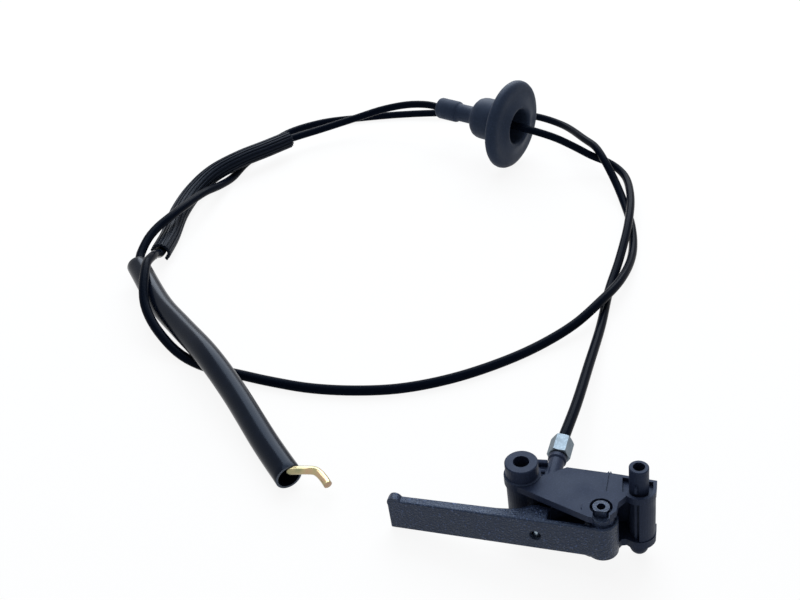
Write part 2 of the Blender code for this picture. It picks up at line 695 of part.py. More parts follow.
def make_grommet(parts):
    """The rubber grommet: mouth and flange in front, bulb, neck and collar behind."""
    bore = SHEATH_RADIUS + FIT
    edge = 1.5 * MM
    profile = [
        (MOUTH_RADIUS, HUB_FRONT), (MOUTH_RADIUS + 3.0 * MM, HUB_FRONT - 0.6 * MM), (BELL_RADIUS, 2.6 * MM),
        (FLANGE_RADIUS - 4.0 * MM, 0.6 * MM), (FLANGE_RADIUS - 1.0 * MM, -0.4 * MM),
        (FLANGE_RADIUS, -2.4 * MM), (FLANGE_RADIUS - 1.2 * MM, -FLANGE_THICK),
        (FLANGE_RADIUS - 5.0 * MM, -FLANGE_THICK - 0.6 * MM),
        (BULB_RADIUS + 3.0 * MM, -FLANGE_THICK - 2.0 * MM), (BULB_RADIUS - 1.0 * MM, -BULB_START + 1.5 * MM),
        (BULB_RADIUS - 1.0 * MM, -BULB_START), (BULB_RADIUS, -BULB_START - 2.0 * MM),
        (BULB_RADIUS, -BULB_END + 6.0 * MM), (BULB_RADIUS - 3.0 * MM, -BULB_END + 2.0 * MM),
        (GROMMET_NECK + 1.0 * MM, -BULB_END), (GROMMET_NECK, -BULB_END - 2.0 * MM),
        (GROMMET_NECK, -COLLAR_START + 1.0 * MM), (COLLAR_RADIUS - edge, -COLLAR_START),
        (COLLAR_RADIUS, -COLLAR_START - edge), (COLLAR_RADIUS, -COLLAR_END + edge),
        (COLLAR_RADIUS - edge, -COLLAR_END), (bore, -COLLAR_END), (bore, -BULB_END - 1.0 * MM),
        (MOUTH_RADIUS - 4.0 * MM, -BULB_END + 5.0 * MM), (MOUTH_RADIUS - 1.0 * MM, -BULB_START),
        (MOUTH_RADIUS - 0.6 * MM, HUB_FRONT - 1.0 * MM),
    ]
    grommet = turned("grommet", profile, 36, parts)
    grommet.matrix_world = grommet_frame()
    paint(grommet, (0.03, 0.033, 0.04), 0.6)
    return grommet


def held_stations():
    """Where the sheath runs straight: in its ferrule and through the grommet's neck."""
    housing = hinge_frames()[0] @ tube_axis()
    seat = TUBE_END + FIT + HEX_LENGTH - HEX_BORE_DEPTH + FIT
    end = TUBE_END + HEX_LENGTH
    ferrule = [housing @ Vector((0.0, 0.0, z)) for z in (seat, end - HEX_BORE_DEPTH / 2, end, end + HEX_EXIT)]
    stations = (10 * MM, BULB_END - 2 * MM, COLLAR_START, COLLAR_END - 2 * MM, COLLAR_END + 10 * MM)
    grommet = [grommet_frame() @ Vector((0.0, 0.0, -u)) for u in stations]
    return ferrule, grommet


def sheath_route():
    """The sheath's own points: from the ferrule round the coil and into the hose."""
    ferrule, grommet = held_stations()
    in_hose = along(smooth(mm(HOSE_ROUTE)), 4 * MM, SHEATH_IN_HOSE)[::8]
    return (ferrule + mm(TO_GROMMET) + grommet + mm(TO_SLEEVE) + mm(SLEEVE_ROUTE) + mm(ROUND_HOSE)
            + mm(COIL) + mm(TO_HOSE) + in_hose)


def make_sheath(parts):
    ferrule, grommet = held_stations()
    points = thinned(smooth(sheath_route()), SHEATH_STEP, SHEATH_TURN, ferrule + grommet)
    sheath = tube("sheath", points, SHEATH_RADIUS, 2, parts)
    paint(sheath, (0.012, 0.012, 0.014), 0.28)
    return sheath


def make_sleeve(parts):
    """The ribbed sleeve: a slit section with ribs, swept with its slit to the ground."""
    section = bpy.data.curves.new("sleeve_section", "CURVE")
    section.dimensions = "2D"
    outline = []
    low = -90 + math.degrees(SLEEVE_SLIT) / 2
    pitch = (360 - math.degrees(SLEEVE_SLIT)) / SLEEVE_RIBS
    for i in range(SLEEVE_RIBS):
        start = low + pitch * i
        outline += arc((0.0, 0.0), SLEEVE_RADIUS - SLEEVE_RIB, start + 0.02 * pitch, start + 0.3 * pitch, 1)
        outline += arc((0.0, 0.0), SLEEVE_RADIUS, start + 0.4 * pitch, start + 0.9 * pitch, 1)
    outline += arc((0.0, 0.0), SLEEVE_BORE, low + pitch * SLEEVE_RIBS, low, 16)
    spline = section.splines.new("POLY")
    spline.points.add(len(outline) - 1)
    for point, (x, y) in zip(spline.points, outline):
        point.co = (x, y, 0.0, 1.0)
    spline.use_cyclic_u = True
    guide = bpy.data.objects.new("sleeve_section", section)
    curve = bpy.data.curves.new("ribbed_sleeve", "CURVE")
    curve.dimensions = "3D"
    curve.twist_mode = "Z_UP"
    curve.bevel_mode = "OBJECT"
    curve.bevel_object = guide
    curve.use_fill_caps = True
    points = thinned(smooth(mm(SLEEVE_ROUTE)), 14 * MM, math.radians(8))
    path = curve.splines.new("POLY")
    path.points.add(len(points) - 1)
    for target, point in zip(path.points, points):
        target.co = (*point, 1.0)
    sleeve = as_mesh(bpy.data.objects.new("ribbed_sleeve", curve), parts)
    bpy.data.objects.remove(guide, do_unlink=True)
    paint(sleeve, (0.03, 0.032, 0.038), 0.5)
    return sleeve


def make_hose(parts):
    """The hose: an open tube with a wall added inwards."""
    curve = bpy.data.curves.new("hose", "CURVE")
    curve.dimensions = "3D"
    curve.bevel_depth = HOSE_RADIUS
    curve.bevel_resolution = 6
    points = thinned(smooth(mm(HOSE_ROUTE)), 16 * MM, math.radians(5))
    spline = curve.splines.new("POLY")
    spline.points.add(len(points) - 1)
    for target, point in zip(spline.points, points):
        target.co = (*point, 1.0)
    hose = as_mesh(bpy.data.objects.new("hose", curve), parts)
    wall = hose.modifiers.new("Wall", "SOLIDIFY")
    wall.thickness = HOSE_WALL
    wall.offset = -1.0
    paint(hose, (0.008, 0.008, 0.01), 0.12)
    return hose


def hose_stretch(start, length):
    """Points on the hose's axis, as distances from its upper mouth."""
    return thinned(along(smooth(mm(HOSE_ROUTE)), start, start + length), 20 * MM, math.radians(5))


def make_pull_end(parts):
    """The sheath's end cap, the strand, its crimp barrel and the bent rod, inside the hose."""
    cap_start = SHEATH_IN_HOSE + FIT
    cap = tube("sheath_end_cap", hose_stretch(cap_start, CAP_LENGTH), CAP_RADIUS, 3, parts)
    paint(cap, (0.62, 0.66, 0.7), 0.35, 1.0)
    strand_start = cap_start + CAP_LENGTH + FIT
    strand = tube("pull_strand", hose_stretch(strand_start, STRAND_LENGTH), STRAND_RADIUS, 2, parts)
    paint(strand, (0.55, 0.56, 0.58), 0.35, 1.0)
    crimp_start = strand_start + STRAND_LENGTH + FIT
    crimp = tube("crimp_barrel", hose_stretch(crimp_start, CRIMP_LENGTH), CRIMP_RADIUS, 3, parts)
    paint(crimp, (0.62, 0.66, 0.7), 0.35, 1.0)
    rod_start = crimp_start + CRIMP_LENGTH + FIT
    straight = along(smooth(mm(HOSE_ROUTE)), rod_start, ROD_STRAIGHT_END)
    bends = smooth([straight[-1]] + mm(ROD_BENDS), 8)
    points = thinned(straight, 18 * MM, math.radians(5)) + thinned(bends, 9 * MM, math.radians(14))[1:]
    rod = tube("pull_rod", points, ROD_RADIUS, 3, parts)
    paint(rod, (0.66, 0.5, 0.2), 0.3, 1.0)


def main():
    clear_scene()
    parts = new_collection("hood_release_cable")
    tools = new_collection("cutters")
    tools.hide_render = True
    housing_frame, lever_frame, wire_frame = hinge_frames()
    housing = empty("housing_frame", housing_frame, parts)
    hinge = empty("lever_hinge", lever_frame, parts)
    swivel = empty("wire_swivel", wire_frame, parts)

    bracket = make_bracket(parts, tools)
    carry([bracket] + list(tools.objects), housing)
    before = set(tools.objects)
    lever = make_lever(parts, tools)
    carry([lever] + [tool for tool in tools.objects if tool not in before], hinge)
    carry(make_nipple_and_wire(parts), swivel)
    ferrule, shapes = make_hex_ferrule(parts, tools)
    carry([ferrule] + shapes, housing)

    make_grommet(parts)
    make_sheath(parts)
    make_sleeve(parts)
    make_hose(parts)
    make_pull_end(parts)


main()
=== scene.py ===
"""Hood release cable: finished surfaces, free cable and studio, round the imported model."""

import math

import bpy
from bpy.props import FloatProperty, FloatVectorProperty, PointerProperty
from bpy.types import Operator, Panel, PropertyGroup
from mathutils import Matrix, Vector


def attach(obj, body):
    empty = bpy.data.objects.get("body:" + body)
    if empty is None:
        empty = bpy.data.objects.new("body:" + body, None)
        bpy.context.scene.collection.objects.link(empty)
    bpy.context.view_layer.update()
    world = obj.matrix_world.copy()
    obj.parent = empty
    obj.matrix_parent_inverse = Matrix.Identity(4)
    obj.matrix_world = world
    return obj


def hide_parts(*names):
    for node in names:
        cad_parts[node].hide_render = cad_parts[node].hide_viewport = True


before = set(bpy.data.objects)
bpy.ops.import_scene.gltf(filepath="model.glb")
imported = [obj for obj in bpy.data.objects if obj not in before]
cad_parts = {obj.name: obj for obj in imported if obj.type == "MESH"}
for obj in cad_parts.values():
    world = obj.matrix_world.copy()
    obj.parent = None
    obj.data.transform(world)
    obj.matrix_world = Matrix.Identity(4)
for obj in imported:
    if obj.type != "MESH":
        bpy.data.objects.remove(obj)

bl_info = {
    "name": "Hood release cable",
    "version": (1, 0, 0),
    "blender": (4, 5, 0),
    "location": "View3D > Sidebar > Cable",
    "description": "Builds a hood release cable with its lever, grommet, sleeve and hose",
    "category": "Add Mesh",
}

MM = 0.001

# Colours that go with the finishes
SHINE_TINT = (0.55, 0.72, 1.0, 1.0)
CUT_HOSE_COLOR = (0.075, 0.085, 0.105)
CUT_ROD_COLOR = (0.42, 0.29, 0.19)
GREEN_ZINC = (0.19, 0.21, 0.12, 1.0)
ROSE_ZINC = (0.43, 0.29, 0.19, 1.0)

# Noise values between which blotches fade in, and at which a speck is full
BLOTCH_FROM = 0.35
BLOTCH_TO = 0.65
SPECK_FULL = 0.68

# Studio
FLOOR_SIZE = 6.0
FLOOR_PLACE = (0.0, 0.6, -0.1 * MM)
FLOOR_COLOR = (0.9, 0.9, 0.9)
FLOOR_WHITE_SHARE = 0.9
AMBIENT_COLOR = (0.93, 0.96, 1.0, 1.0)
AMBIENT_STRENGTH = 0.26
WHITE = (1.0, 1.0, 1.0, 1.0)
LAMP_COLOR = (0.88, 0.94, 1.0)
# Lamps: name, place, point it faces, size, power
LAMPS = (
    ("Key", (-0.4, 0.3, 1.6), (-0.05, 0.15, 0.0), 1.0, 9.0),
    ("Fill", (1.2, -0.6, 0.9), (0.0, 0.15, 0.0), 1.0, 1.0),
    ("Back", (0.1, 1.5, 1.2), (-0.05, 0.2, 0.0), 1.6, 40.0),
)

# Photograph and camera
PHOTO_WIDTH = 800
FOCAL_PIXELS = 983
SENSOR_WIDTH = 36.0
CAMERA_PLACE = (-0.048, -0.2828, 0.303)
CAMERA_DOWN = math.radians(34.4)

# Bracket's frame and the places on it that the cable starts from
HOUSING_PLACE = (45.94 * MM, -16.57 * MM, 7.961 * MM)
HOUSING_YAW = math.radians(-12.0)
HOUSING_ROLL = math.radians(7.7)
NIPPLE_PLACE = (-38.2 * MM, -11.0 * MM, 12.5 * MM)
WIRE_ANGLE = math.radians(83.15)
SHEATH_START = 45.6 * MM
FERRULE_END = 51.0 * MM
STRAIGHT_END = 54.0 * MM

# Grommet: u runs from the flange's centre back to the collar
GROMMET_PLACE = (28.1 * MM, 321.9 * MM, 29.6 * MM)
GROMMET_YAW = math.radians(-37.0)
GROMMET_TILT = 0.05
GROMMET_STATIONS = (10 * MM, 29 * MM, 44.5 * MM, 58.5 * MM, 70.5 * MM)
GROMMET_STEPS = 72
# Radius and height in mm: the mouth, the flange, the bulb, the neck and the collar, then the inside
GROMMET_PROFILE = [
    (12.0, 3.4), (12.5, 3.9), (13.6, 4.0), (15.4, 3.5), (18.0, 2.6), (20.6, 1.9), (23.0, 1.7),
    (25.0, 1.6), (26.8, 1.1), (28.3, 0.1), (29.1, -1.3), (29.3, -2.8), (29.0, -4.2), (28.2, -5.2),
    (27.0, -5.8), (24.5, -6.1), (21.0, -6.5), (17.6, -7.0), (15.0, -8.2), (13.5, -9.6),
    (12.9, -11.0), (13.1, -12.2), (13.6, -13.4), (13.8, -15.0), (13.8, -23.0), (13.5, -25.2),
    (12.7, -27.2), (11.2, -28.8), (9.0, -30.2), (7.2, -31.1), (6.3, -32.2), (5.9, -33.6),
    (5.9, -42.4), (6.1, -43.6), (6.5, -44.3), (6.9, -44.9), (7.1, -45.8), (7.1, -58.8),
    (6.7, -59.9), (5.9, -60.5), (2.8, -60.5), (2.8, -32.2), (4.0, -28.6), (7.0, -26.2),
    (9.2, -22.0), (10.2, -16.0), (10.8, -10.0), (11.3, -2.0), (11.5, 2.6),
]

# Sleeve: ribs round the outside, a slit in degrees on its underside
SLEEVE_RIBS = 14
SLEEVE_SLIT = 64.0
SLEEVE_BORE = 3.9 * MM
SLEEVE_BORE_STEPS = 40
RIB_HEIGHT = 0.65 * MM
RIB_ROUNDING = 0.12 * MM

# Roundings, steps along the lines and sides of the round sections
HOSE_RIM = 0.12 * MM
ROD_END_ROUNDING = 0.25 * MM
SHEATH_SPACING = 4.0 * MM
HOSE_SPACING = 3.0 * MM
SLEEVE_SPACING = 2.5 * MM
ROD_SPACING = 0.7 * MM
HOSE_SIDES = 48
ROD_SIDES = 24

# Cable route, in millimetres, with the height above the ground last
TO_GROMMET = [
    (31.6, 57, 12.8), (43.4, 92.2, 8), (56.3, 130.7, 3.6), (66.8, 165.6, 2.7), (77, 192.8, 5),
    (89, 229.9, 8.6), (97, 266.2, 8.6), (98, 293.2, 8), (91.5, 307.2, 9), (79.5, 312.2, 12.3),
    (67, 312.2, 19), (52, 311, 26.5),
]
TO_SLEEVE = [(-42, 368.5, 24.4), (-60, 370.5, 20), (-79, 367.5, 14.8), (-101.5, 357, 11.5)]
SLEEVE_ROUTE = [
    (-125.3, 339.6, 11), (-139, 323.7, 11.6), (-154.2, 308.2, 11.6), (-169.5, 292, 9.3),
    (-178.8, 273.2, 6.6), (-183.8, 248.9, 5.1), (-184.4, 218.7, 5.1), (-185.4, 197.7, 6.8),
]
ROUND_HOSE = [
    (-185.3, 189.2, 11.4), (-184.8, 178.7, 16.2), (-185, 167.2, 19.2), (-183.9, 156.2, 18.9),
    (-182.7, 146.9, 17), (-180.3, 136.4, 13.7), (-175.1, 126, 10.3), (-167.8, 116.2, 7.2),
    (-159.2, 107.6, 4.2), (-150.2, 101.2, 2.9), (-140, 96, 2.7), (-128, 92.1, 2.7),
]
COIL = [
    (-110.7, 86.3, 2.7), (-91, 81.2, 2.7), (-69.5, 79.4, 2.7), (-48, 81, 2.7),
    (-23.8, 88.2, 2.7), (1.5, 100.8, 2.7), (22.9, 114.9, 3), (42.3, 129, 6), (57.5, 144.4, 9.4),
    (72.5, 167.2, 7.8), (86.1, 200.6, 3.6), (92.4, 233.2, 2.7), (93, 262.2, 4),
    (90, 282.2, 9.5), (84.8, 300.2, 16.4), (81.8, 313.2, 18), (77.5, 328.7, 16.2),
    (67, 367, 10), (49.2, 386.1, 8), (17, 397.2, 5.6), (-19.7, 400.6, 4), (-48, 400, 3),
    (-76.2, 394.8, 2.7), (-104.1, 386.7, 2.7),
]
TO_HOSE = [
    (-128.5, 368.2, 2.7), (-142.2, 342, 2.7), (-152.6, 319.5, 2.7), (-158.6, 299.1, 2.7),
    (-163.6, 281.8, 6.2), (-170.4, 261.5, 11.6), (-178.6, 235.6, 15.4), (-184, 221.4, 16.2),
    (-188.1, 212.5, 15.8), (-191.6, 202.6, 14.6), (-193.4, 193.2, 12.8), (-193.9, 186, 11.3),
]
HOSE_ROUTE = [
    (-193.3, 178.2, 10.3), (-173.7, 142, 9.3), (-158.5, 119.7, 10.4), (-141.5, 95.2, 11.9),
    (-125.2, 70, 9.6), (-106.6, 37.4, 6.9), (-95, 18.1, 6.2),
]
ROD_BENDS = [
    (-97.4, 22.6, 8.7), (-94.8, 18.9, 9.4), (-92.6, 18.4, 9.8), (-90.1, 18.1, 10.2),
    (-86.8, 18.1, 10.2), (-83.9, 18.3, 9.6), (-82, 17.3, 9), (-80, 15, 8.4), (-78, 11.7, 8),
]

# Small ribs in the bracket's own frame: low corner, high corner, rise of the far edge, rounding
BRACKET_RIBS = [
    ((-41.3, 20.6, 14.8), (-36.6, 22.4, 17.4), 0.6, 0.4),
    ((-41.0, 16.6, 14.8), (-37.4, 18.0, 16.2), 0.5, 0.3),
    ((-40.6, 12.4, 14.8), (-38.0, 13.8, 17.0), 1.0, 0.3),
    ((-21.0, -13.0, 26.1), (-20.6, -10.2, 26.75), 0.0, 0.1),
]

# Distances along the hose
HOSE_ENTRY = 4.0 * MM
SHEATH_IN_HOSE = 62.0 * MM
ROD_START = 111.2 * MM
ROD_STRAIGHT_END = 177.0 * MM


class CableSizes(PropertyGroup):
    sheath_diameter: FloatProperty(
        name="Sheath diameter", description="Outside of the cable's sheath",
        default=0.005, unit="LENGTH")
    hose_diameter: FloatProperty(
        name="Hose diameter", description="Outside of the hose",
        default=0.0122, unit="LENGTH")
    hose_wall: FloatProperty(
        name="Hose wall", description="Thickness of the hose's wall",
        default=0.0011, unit="LENGTH")
    sleeve_radius: FloatProperty(
        name="Sleeve radius", description="Outside of the ribbed sleeve",
        default=0.00575, unit="LENGTH")
    rod_diameter: FloatProperty(
        name="Rod diameter", description="Thickness of the bent pull rod",
        default=0.0037, unit="LENGTH")


class CableColors(PropertyGroup):
    bracket: FloatVectorProperty(
        name="Bracket", description="Moulded bracket",
        subtype="COLOR", default=(0.0145, 0.02, 0.04))
    lever: FloatVectorProperty(
        name="Lever", description="Grained lever",
        subtype="COLOR", default=(0.0125, 0.0185, 0.039))
    sheath: FloatVectorProperty(
        name="Sheath", description="Glossy sheath",
        subtype="COLOR", default=(0.002, 0.0035, 0.008))
    hose: FloatVectorProperty(
        name="Hose", description="Glossy hose",
        subtype="COLOR", default=(0.002, 0.0035, 0.0085))
    rubber: FloatVectorProperty(
        name="Rubber", description="Grommet and sleeve",
        subtype="COLOR", default=(0.0165, 0.0235, 0.042))
    zinc: FloatVectorProperty(
        name="Zinc", description="Plated steel",
        subtype="COLOR", default=(0.135, 0.17, 0.2))
    yellow_zinc: FloatVectorProperty(
        name="Yellow zinc", description="Passivated rod",
        subtype="COLOR", default=(0.39, 0.33, 0.19))


def sizes():
    return bpy.context.scene.cable_sizes


def colors():
    return bpy.context.scene.cable_colors


def mm(points):
    return [Vector(point) * MM for point in points]


def smooth(points, steps=24):
    """A centripetal Catmull-Rom curve through the points, finely sampled."""
    ends = [points[0] * 2 - points[1]] + points + [points[-1] * 2 - points[-2]]
    found = []
    for a, b, c, d in zip(ends, ends[1:], ends[2:], ends[3:]):
        t1 = (b - a).length ** 0.5
        t2 = t1 + (c - b).length ** 0.5
        t3 = t2 + (d - c).length ** 0.5
        for i in range(steps):
            t = t1 + (t2 - t1) * i / steps
            p = a.lerp(b, t / t1)
            q = b.lerp(c, (t - t1) / (t2 - t1))
            r = c.lerp(d, (t - t2) / (t3 - t2))
            s = p.lerp(q, t / t2)
            u = q.lerp(r, (t - t1) / (t3 - t1))
            found.append(s.lerp(u, (t - t1) / (t2 - t1)))
    found.append(points[-1])
    return found


def along(points, start, end):
    """The stretch of a finely sampled line between two distances along it."""
    found = []
    done = 0.0
    for a, b in zip(points, points[1:]):
        step = (b - a).length
        for edge in (start, end):
            if done <= edge < done + step:
                found.append(a.lerp(b, (edge - done) / step))
        if start < done + step < end:
            found.append(b)
        done += step
    return found


def line_length(points):
    return sum((b - a).length for a, b in zip(points, points[1:]))


def evenly(points, spacing):
    """The line again with its points at an even spacing."""
    total = line_length(points)
    count = max(2, round(total / spacing))
    found = [points[0]]
    done = 0.0
    wanted = total / count
    for a, b in zip(points, points[1:]):
        step = (b - a).length
        while len(found) < count and done + step >= wanted * len(found):
            found.append(a.lerp(b, (wanted * len(found) - done) / step))
        done += step
    found.append(points[-1])
    return found


def frame_along(start, direction):
    """A frame with its z axis along the direction."""
    turn = Vector((0.0, 0.0, 1.0)).rotation_difference(direction).to_matrix().to_4x4()
    return Matrix.Translation(start) @ turn


def housing_frame():
    """The bracket's own frame, tilted as it lies on the ground."""
    turn = Matrix.Rotation(HOUSING_YAW, 4, "Z") @ Matrix.Rotation(-HOUSING_ROLL, 4, "Y")
    return Matrix.Translation(HOUSING_PLACE) @ turn


def tube_frame():
    """A frame on the nipple's centre, with z along the bracket's cable tube."""
    direction = Vector((math.cos(WIRE_ANGLE), math.sin(WIRE_ANGLE), 0.0))
    return housing_frame() @ frame_along(Vector(NIPPLE_PLACE), direction)


def grommet_frame():
    """A frame on the flange's centre, with z pointing out of the grommet's mouth."""
    direction = Vector((math.cos(GROMMET_YAW), math.sin(GROMMET_YAW), GROMMET_TILT)).normalized()
    return frame_along(Vector(GROMMET_PLACE), direction)


def sheath_route():
    """The sheath's points: from the ferrule through grommet and sleeve, round and into the hose."""
    tube = tube_frame()
    middle = (SHEATH_START + FERRULE_END) / 2
    stations = (SHEATH_START, middle, FERRULE_END, STRAIGHT_END)
    ferrule = [tube @ Vector((0.0, 0.0, z)) for z in stations]
    grommet = [grommet_frame() @ Vector((0.0, 0.0, -u)) for u in GROMMET_STATIONS]
    in_hose = along(smooth(mm(HOSE_ROUTE)), HOSE_ENTRY, SHEATH_IN_HOSE)[::8]
    return (ferrule + mm(TO_GROMMET) + grommet + mm(TO_SLEEVE) + mm(SLEEVE_ROUTE)
            + mm(ROUND_HOSE) + mm(COIL) + mm(TO_HOSE) + in_hose)


def select_only(obj):
    bpy.ops.object.select_all(action="DESELECT")
    obj.select_set(True)
    bpy.context.view_layer.objects.active = obj


def set_material(obj, material):
    obj.data.materials.clear()
    obj.data.materials.append(material)


def dress_node(name, material):
    """A CAD node keeps its shape and takes a finished material."""
    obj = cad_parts[name]
    for slot in obj.material_slots:
        slot.material = material


def apply_all_modifiers(obj):
    select_only(obj)
    for modifier in list(obj.modifiers):
        bpy.ops.object.modifier_apply(modifier=modifier.name)


def smooth_by_angle(obj, degrees):
    select_only(obj)
    bpy.ops.object.shade_smooth_by_angle(angle=math.radians(degrees))


def curve_line(name, points, cyclic=False):
    """A curve object of straight steps along a line of points."""
    curve = bpy.data.curves.new(name, "CURVE")
    curve.dimensions = "3D"
    spline = curve.splines.new("POLY")
    spline.points.add(len(points) - 1)
    for target, point in zip(spline.points, points):
        target.co = (*point, 1.0)
    spline.use_smooth = True
    spline.use_cyclic_u = cyclic
    obj = bpy.data.objects.new(name, curve)
    bpy.context.scene.collection.objects.link(obj)
    return obj


def swept_mesh(name, section, points, caps=True):
    """A section (a list of x, y) carried along a line with its y upright, then made a mesh."""
    outline = curve_line(name + "_section", [(x, y, 0.0) for x, y in section], cyclic=True)
    piece = curve_line(name, points)
    piece.data.twist_mode = "Z_UP"
    piece.data.bevel_mode = "OBJECT"
    piece.data.bevel_object = outline
    piece.data.use_fill_caps = caps
    select_only(piece)
    bpy.ops.object.convert(target="MESH")
    select_only(outline)
    bpy.ops.object.delete()
    clean_mesh(piece)
    return piece


def turned_mesh(name, profile, steps, place):
    """A ring of points set on a profile of (radius, height), spun about z and put in place."""
    bpy.ops.object.select_all(action="DESELECT")
    bpy.ops.mesh.primitive_circle_add(vertices=len(profile), radius=1.0 * MM)
    piece = bpy.context.active_object
    piece.name = name
    for vertex, (radius, height) in zip(piece.data.vertices, profile):
        vertex.co = (radius, 0.0, height)
    bpy.ops.object.mode_set(mode="EDIT")
    bpy.ops.mesh.select_all(action="SELECT")
    bpy.ops.mesh.spin(steps=steps, angle=math.tau, center=(0.0, 0.0, 0.0), axis=(0.0, 0.0, 1.0))
    bpy.ops.object.mode_set(mode="OBJECT")
    clean_mesh(piece)
    piece.data.transform(place)
    piece.data.update()
    return piece


def clean_mesh(piece):
    """Merge doubled points and turn every face outwards."""
    select_only(piece)
    bpy.ops.object.mode_set(mode="EDIT")
    bpy.ops.mesh.select_all(action="SELECT")
    bpy.ops.mesh.remove_doubles(threshold=0.005 * MM)
    bpy.ops.mesh.normals_make_consistent(inside=False)
    bpy.ops.object.mode_set(mode="OBJECT")


def rib(low, high, rise, edge):
    """A rounded block between two corners in mm, with its far top edge raised by rise."""
    middle = (Vector(low) + Vector(high)) / 2 * MM
    size = (Vector(high) - Vector(low)) * MM
    bpy.ops.object.select_all(action="DESELECT")
    bpy.ops.mesh.primitive_cube_add(size=1.0, location=(0.0, 0.0, 0.0))
    piece = bpy.context.active_object
    for vertex in piece.data.vertices:
        far_top = vertex.co.y > 0.0 and vertex.co.z > 0.0
        vertex.co = Vector(vertex.co) * size + middle
        if far_top:
            vertex.co.z += rise * MM
    bpy.ops.object.mode_set(mode="EDIT")
    bpy.ops.mesh.select_all(action="SELECT")
    bpy.ops.mesh.bevel(offset=edge * MM, segments=2, affect="EDGES")
    bpy.ops.object.mode_set(mode="OBJECT")
    return piece


def arc(center, radius, start, end, steps):
    """Points on an arc, with angles in degrees."""
    points = []
    for i in range(steps + 1):
        angle = math.radians(start + (end - start) * i / steps)
        points.append((center[0] + radius * math.cos(angle), center[1] + radius * math.sin(angle)))
    return points


def circle(radius, sides):
    """Points round a circle, the last one a step short of the first."""
    return arc((0.0, 0.0), radius, 0.0, 360.0 * (sides - 1) / sides, sides - 1)


def add_rounding(obj, name, width):
    """A bevel on the sharp edges only."""
    bevel = obj.modifiers.new(name, "BEVEL")
    bevel.width = width
    bevel.segments = 2
    bevel.limit_method = "ANGLE"
    bevel.angle_limit = math.radians(60)


def new_material(name, color, roughness, metallic=0.0):
    """A new material with its node tree and its Principled shader."""
    material = bpy.data.materials.new(name)
    material.use_nodes = True
    shader = material.node_tree.nodes["Principled BSDF"]
    shader.inputs["Base Color"].default_value = (*color, 1.0)
    shader.inputs["Roughness"].default_value = roughness
    shader.inputs["Metallic"].default_value = metallic
    return material, material.node_tree, shader


def grain_group():
    """Two sizes of noise on the object's own coordinates: a height, a speckle mask and blotches."""
    if "Surface grain" in bpy.data.node_groups:
        return bpy.data.node_groups["Surface grain"]
    group = bpy.data.node_groups.new("Surface grain", "ShaderNodeTree")
    defaults = {"Fine scale": 1500.0, "Broad scale": 60.0, "Detail": 4.0, "Specks from": 0.52}
    for name, default in defaults.items():
        socket = group.interface.new_socket(name, in_out="INPUT", socket_type="NodeSocketFloat")
        socket.default_value = default
    for name in ("Height", "Speckle", "Blotch"):
        group.interface.new_socket(name, in_out="OUTPUT", socket_type="NodeSocketFloat")
    nodes, links = group.nodes, group.links
    inputs = nodes.new("NodeGroupInput")
    outputs = nodes.new("NodeGroupOutput")
    place = nodes.new("ShaderNodeTexCoord")
    fine = nodes.new("ShaderNodeTexNoise")
    broad = nodes.new("ShaderNodeTexNoise")
    speckle = nodes.new("ShaderNodeMapRange")
    speckle.inputs["From Max"].default_value = SPECK_FULL
    blotch = nodes.new("ShaderNodeMapRange")
    blotch.inputs["From Min"].default_value = BLOTCH_FROM
    blotch.inputs["From Max"].default_value = BLOTCH_TO
    for noise, scale in ((fine, "Fine scale"), (broad, "Broad scale")):
        links.new(place.outputs["Object"], noise.inputs["Vector"])
        links.new(inputs.outputs[scale], noise.inputs["Scale"])
        links.new(inputs.outputs["Detail"], noise.inputs["Detail"])
    links.new(fine.outputs["Fac"], speckle.inputs["Value"])
    links.new(inputs.outputs["Specks from"], speckle.inputs["From Min"])
    links.new(broad.outputs["Fac"], blotch.inputs["Value"])
    links.new(fine.outputs["Fac"], outputs.inputs["Height"])
    links.new(speckle.outputs["Result"], outputs.inputs["Speckle"])
    links.new(blotch.outputs["Result"], outputs.inputs["Blotch"])
    return group


def add_grain(tree, shader, scales, bump, color, light, rough, specks_from=0.52):
    """Grain on a material: bump, a lighter speckle (on the lever, painted glints), and roughness
    between two values.
    """
    nodes, links = tree.nodes, tree.links
    grain = nodes.new("ShaderNodeGroup")
    grain.node_tree = grain_group()
    grain.inputs["Fine scale"].default_value = scales[0]
    grain.inputs["Broad scale"].default_value = scales[1]
    grain.inputs["Specks from"].default_value = specks_from
    relief = nodes.new("ShaderNodeBump")
    relief.inputs["Strength"].default_value = 1.0
    relief.inputs["Distance"].default_value = bump
    links.new(grain.outputs["Height"], relief.inputs["Height"])
    links.new(relief.outputs["Normal"], shader.inputs["Normal"])
    tint = nodes.new("ShaderNodeMix")
    tint.data_type = "RGBA"
    tint.inputs["A"].default_value = (*color, 1.0)
    tint.inputs["B"].default_value = (*light, 1.0)
    links.new(grain.outputs["Speckle"], tint.inputs["Factor"])
    links.new(tint.outputs["Result"], shader.inputs["Base Color"])
    gloss = nodes.new("ShaderNodeMapRange")
    gloss.inputs["To Min"].default_value = rough[0]
    gloss.inputs["To Max"].default_value = rough[1]
    links.new(grain.outputs["Blotch"], gloss.inputs["Value"])
    links.new(gloss.outputs["Result"], shader.inputs["Roughness"])


def lighter(color, factor):
    """The colour times a factor; a factor below 1 darkens it."""
    return tuple(min(1.0, channel * factor) for channel in color)


def soft_plastic(name, color, scales, bump, speckle, rough, shine, specks_from=0.52, ior=1.5):
    """A dark plastic or rubber: specks lighter by a factor of speckle, and a faintly blue shine."""
    material, tree, shader = new_material(name, color, rough[0])
    shader.inputs["IOR"].default_value = ior
    shader.inputs["Specular IOR Level"].default_value = shine
    shader.inputs["Specular Tint"].default_value = SHINE_TINT
    add_grain(tree, shader, scales, bump, color, lighter(color, speckle), rough, specks_from)
    return material


